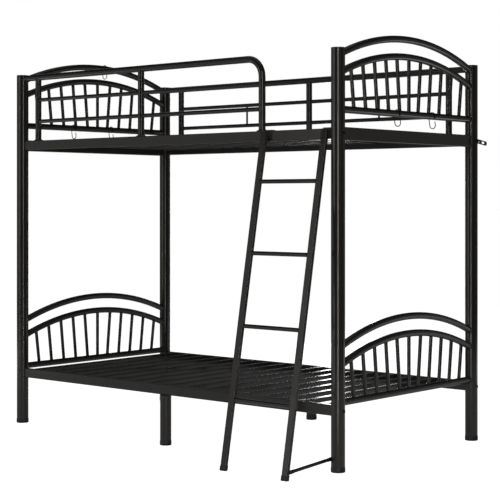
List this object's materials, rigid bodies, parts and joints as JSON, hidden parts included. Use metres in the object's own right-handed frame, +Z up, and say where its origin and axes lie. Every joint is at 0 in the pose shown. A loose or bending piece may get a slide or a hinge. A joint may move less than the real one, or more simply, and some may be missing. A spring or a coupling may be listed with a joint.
{
  "type": "bunk bed with ladder",
  "caption": "Black tubular steel bunk bed with arched, spindled end panels, slatted decks, guard rails and a hook-on ladder held by a stay.",
  "frame": {"origin": "on the floor, under the middle of the whole object's bounding box, ladder included", "axes": "+X along the bed towards the end with the ladder, +Y from the ladder side to the wall side, +Z up"},
  "size_m": [2.0332, 1.382, 1.8125],
  "materials": {
    "black_powder_coat": "satin black powder coat",
    "black_plastic": "moulded, fine matt grain",
    "black_hardware": "black zinc plate",
    "plain_steel": "machined",
    "hook_wire": "dark nickel-plated wire"
  },
  "bodies": {
    "bed": {"post_front_left": "black_powder_coat", "post_back_left": "black_powder_coat", "post_front_right": "black_powder_coat", "post_back_right": "black_powder_coat", "middle_leg_front": "black_powder_coat", "middle_leg_back": "black_powder_coat", "middle_leg_caps": "black_powder_coat", "upper_left_top_arch": "black_powder_coat", "upper_left_inner_arch": "black_powder_coat", "upper_left_base_tube": "black_powder_coat", "upper_left_spindles": "black_powder_coat", "upper_right_top_arch": "black_powder_coat", "upper_right_inner_arch": "black_powder_coat", "upper_right_base_tube": "black_powder_coat", "upper_right_spindles": "black_powder_coat", "lower_left_top_arch": "black_powder_coat", "lower_left_inner_arch": "black_powder_coat", "lower_left_base_tube": "black_powder_coat", "lower_left_spindles": "black_powder_coat", "lower_right_top_arch": "black_powder_coat", "lower_right_inner_arch": "black_powder_coat", "lower_right_base_tube": "black_powder_coat", "lower_right_spindles": "black_powder_coat", "upper_left_end_beam": "black_powder_coat", "upper_right_end_beam": "black_powder_coat", "upper_front_side_rail": "black_powder_coat", "upper_back_side_rail": "black_powder_coat", "lower_front_side_rail": "black_powder_coat", "lower_back_side_rail": "black_powder_coat", "upper_slats": "black_powder_coat", "lower_slats": "black_powder_coat", "front_guard_rail": "black_powder_coat", "back_guard_rail": "black_powder_coat", "front_guard_stiles": "black_powder_coat", "back_guard_stiles": "black_powder_coat", "front_guard_thin_rails": "black_powder_coat", "back_guard_thin_rails": "black_powder_coat", "back_guard_rods": "black_powder_coat", "guard_foot_plates": "black_powder_coat", "stay_bar": "black_powder_coat", "post_caps": "black_plastic", "feet": "black_plastic", "rail_bolts": "black_hardware", "guard_screws": "black_hardware", "stay_post_bolt": "black_hardware", "middle_leg_bolts": "black_hardware", "rail_inserts": "plain_steel"},
    "ladder": {"ladder_stile_left": "black_powder_coat", "ladder_stile_right": "black_powder_coat", "ladder_rungs": "black_powder_coat", "ladder_hooks": "black_powder_coat", "ladder_feet": "black_plastic", "ladder_plugs": "black_plastic", "ladder_stay_stud": "black_hardware"},
    "wall_anchor": {"wall_anchor_strap": "black_powder_coat"},
    "hook_right_front_body": {"hook_right_front": "hook_wire"},
    "hook_right_back_body": {"hook_right_back": "hook_wire"},
    "hook_left_front_body": {"hook_left_front": "hook_wire"},
    "hook_left_back_body": {"hook_left_back": "hook_wire"},
    "hook_left_arch_body": {"hook_left_arch": "hook_wire"}
  },
  "joints": [
    {"name": "ladder_lift", "type": "slide", "parent": "bed", "child": "ladder", "axis": [0, 0, 1], "range_m": [0, 0.12]},
    {"name": "wall_anchor_swivel", "type": "hinge", "parent": "bed", "child": "wall_anchor", "pos_m": [1.01077, 0.60859, 1.3725], "axis": [1, 0, 0], "range_deg": [-80, 90]},
    {"name": "right_front_hook_swing", "type": "hinge", "parent": "bed", "child": "hook_right_front_body", "pos_m": [0.98023, 0.01559, 1.472], "axis": [0, 1, 0], "range_deg": [-70, 70]},
    {"name": "right_back_hook_swing", "type": "hinge", "parent": "bed", "child": "hook_right_back_body", "pos_m": [0.98023, 0.28359, 1.472], "axis": [0, 1, 0], "range_deg": [-70, 70]},
    {"name": "left_front_hook_swing", "type": "hinge", "parent": "bed", "child": "hook_left_front_body", "pos_m": [-0.98377, -0.06241, 1.472], "axis": [0, 1, 0], "range_deg": [-70, 70]},
    {"name": "left_back_hook_swing", "type": "hinge", "parent": "bed", "child": "hook_left_back_body", "pos_m": [-0.98377, 0.20059, 1.472], "axis": [0, 1, 0], "range_deg": [-70, 70]},
    {"name": "left_arch_hook_swing", "type": "hinge", "parent": "bed", "child": "hook_left_arch_body", "pos_m": [-0.98377, 0.15359, 1.79303], "axis": [0, 1, 0], "range_deg": [-70, 70]}
  ]
}
